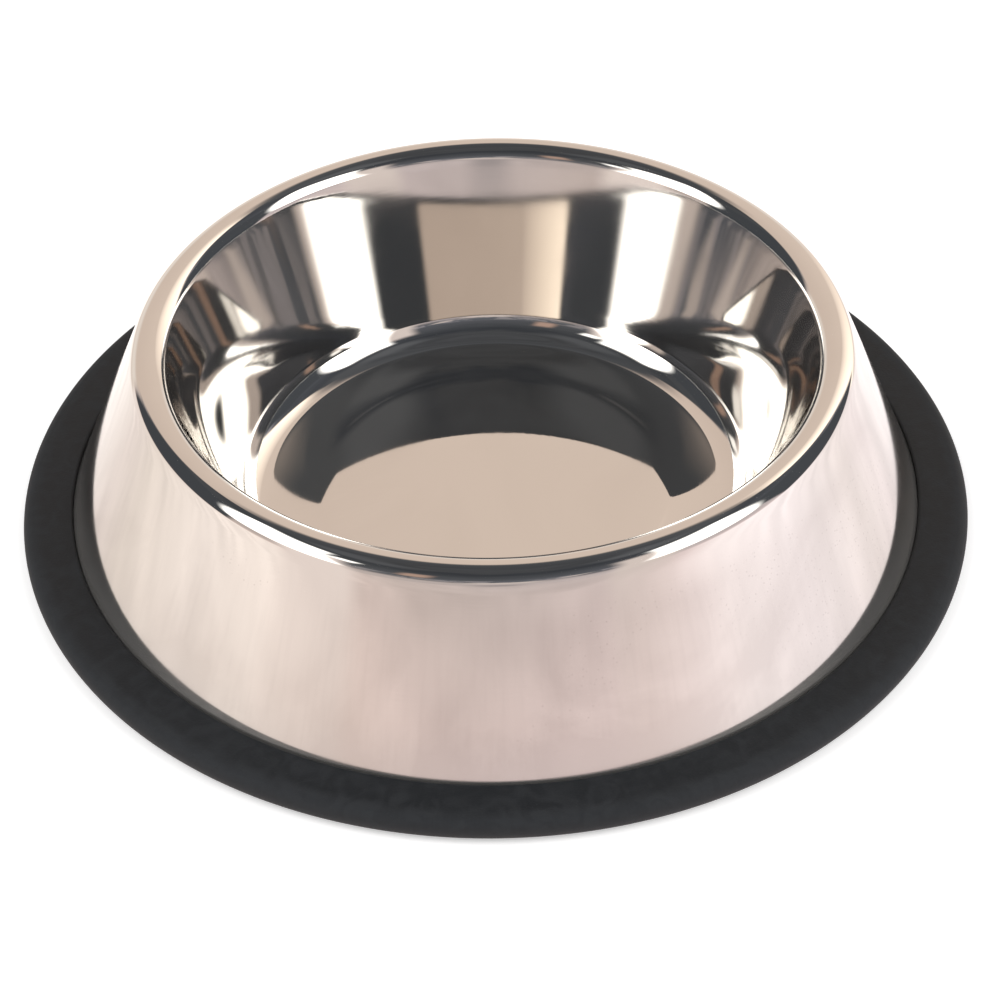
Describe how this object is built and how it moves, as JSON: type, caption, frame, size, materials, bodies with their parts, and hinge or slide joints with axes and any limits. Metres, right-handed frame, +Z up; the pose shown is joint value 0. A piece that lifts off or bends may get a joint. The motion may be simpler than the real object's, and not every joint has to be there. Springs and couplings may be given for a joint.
{
  "type": "pet food bowl",
  "caption": "Round non-tip pet bowl: drawn steel dish with a rolled rim and flared skirt, standing in a pull-off rubber anti-slip ring.",
  "frame": {"origin": "on the bowl's axis at table level, under the middle of the dish", "axes": "+Z up along the bowl's axis; the bowl is round, so +X and +Y are any two square directions on the table"},
  "size_m": [0.25, 0.25, 0.0545],
  "materials": {
    "ring_rubber": "matte moulded black rubber",
    "polished_steel": "mirror-polished stainless steel sheet"
  },
  "bodies": {
    "ring": {"rubber_ring": "ring_rubber"},
    "bowl": {"steel_bowl": "polished_steel"}
  },
  "joints": [
    {"name": "bowl_lift", "type": "slide", "parent": "ring", "child": "bowl", "axis": [0, 0, 1], "range_m": [0, 0.03], "deforming": ["rubber_ring"]}
  ]
}
